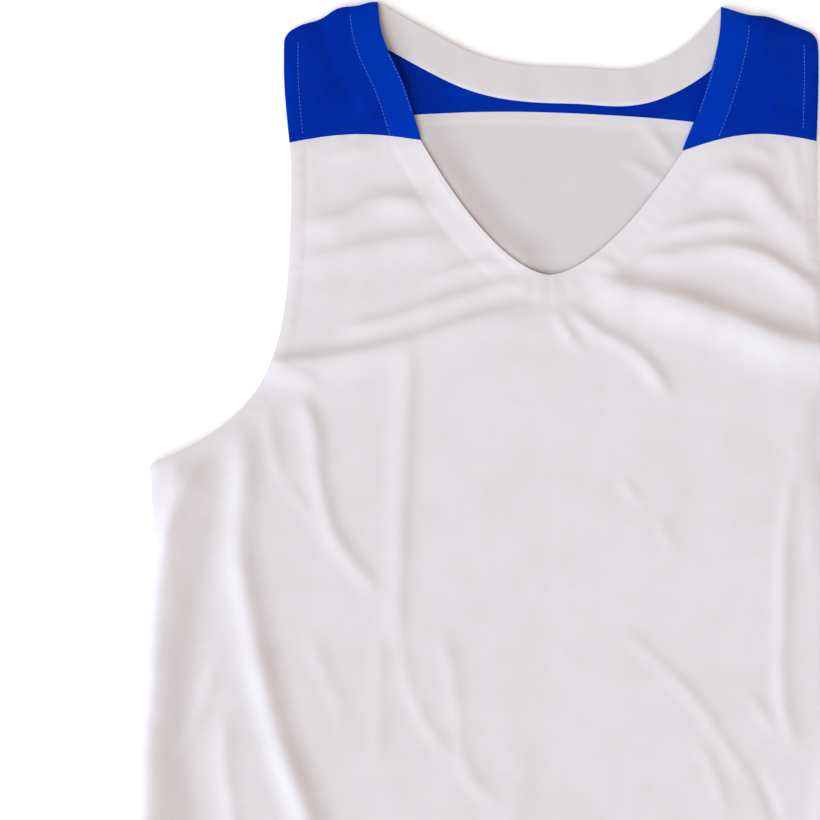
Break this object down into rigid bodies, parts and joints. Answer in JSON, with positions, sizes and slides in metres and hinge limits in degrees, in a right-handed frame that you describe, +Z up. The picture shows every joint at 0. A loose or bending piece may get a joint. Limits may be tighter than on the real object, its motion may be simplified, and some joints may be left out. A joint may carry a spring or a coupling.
{
  "type": "basketball jersey",
  "caption": "Sleeveless V-neck basketball jersey laid flat, white mesh knit body with contrasting shoulder yokes, a back neck facing and soft lie creases",
  "frame": {"origin": "on the surface the jersey lies on, under the middle of its bounding box", "axes": "+Y runs from the hem to the neck, +Z up out of the front, +X to the wearer's left as the jersey lies front side up"},
  "size_m": [0.594, 0.79, 0.0091],
  "materials": {
    "body_knit": "fine white polyester knit, matt with a soft sheen",
    "yoke_knit": "fine royal blue polyester knit, matt with a soft sheen",
    "facing_tape": "white self-fabric facing, matt"
  },
  "bodies": {
    "root": {"back_panel": "body_knit", "front_panel": "body_knit", "back_yoke": "yoke_knit", "front_yoke_right": "yoke_knit", "front_yoke_left": "yoke_knit", "back_neck_facing": "facing_tape"}
  },
  "joints": []
}
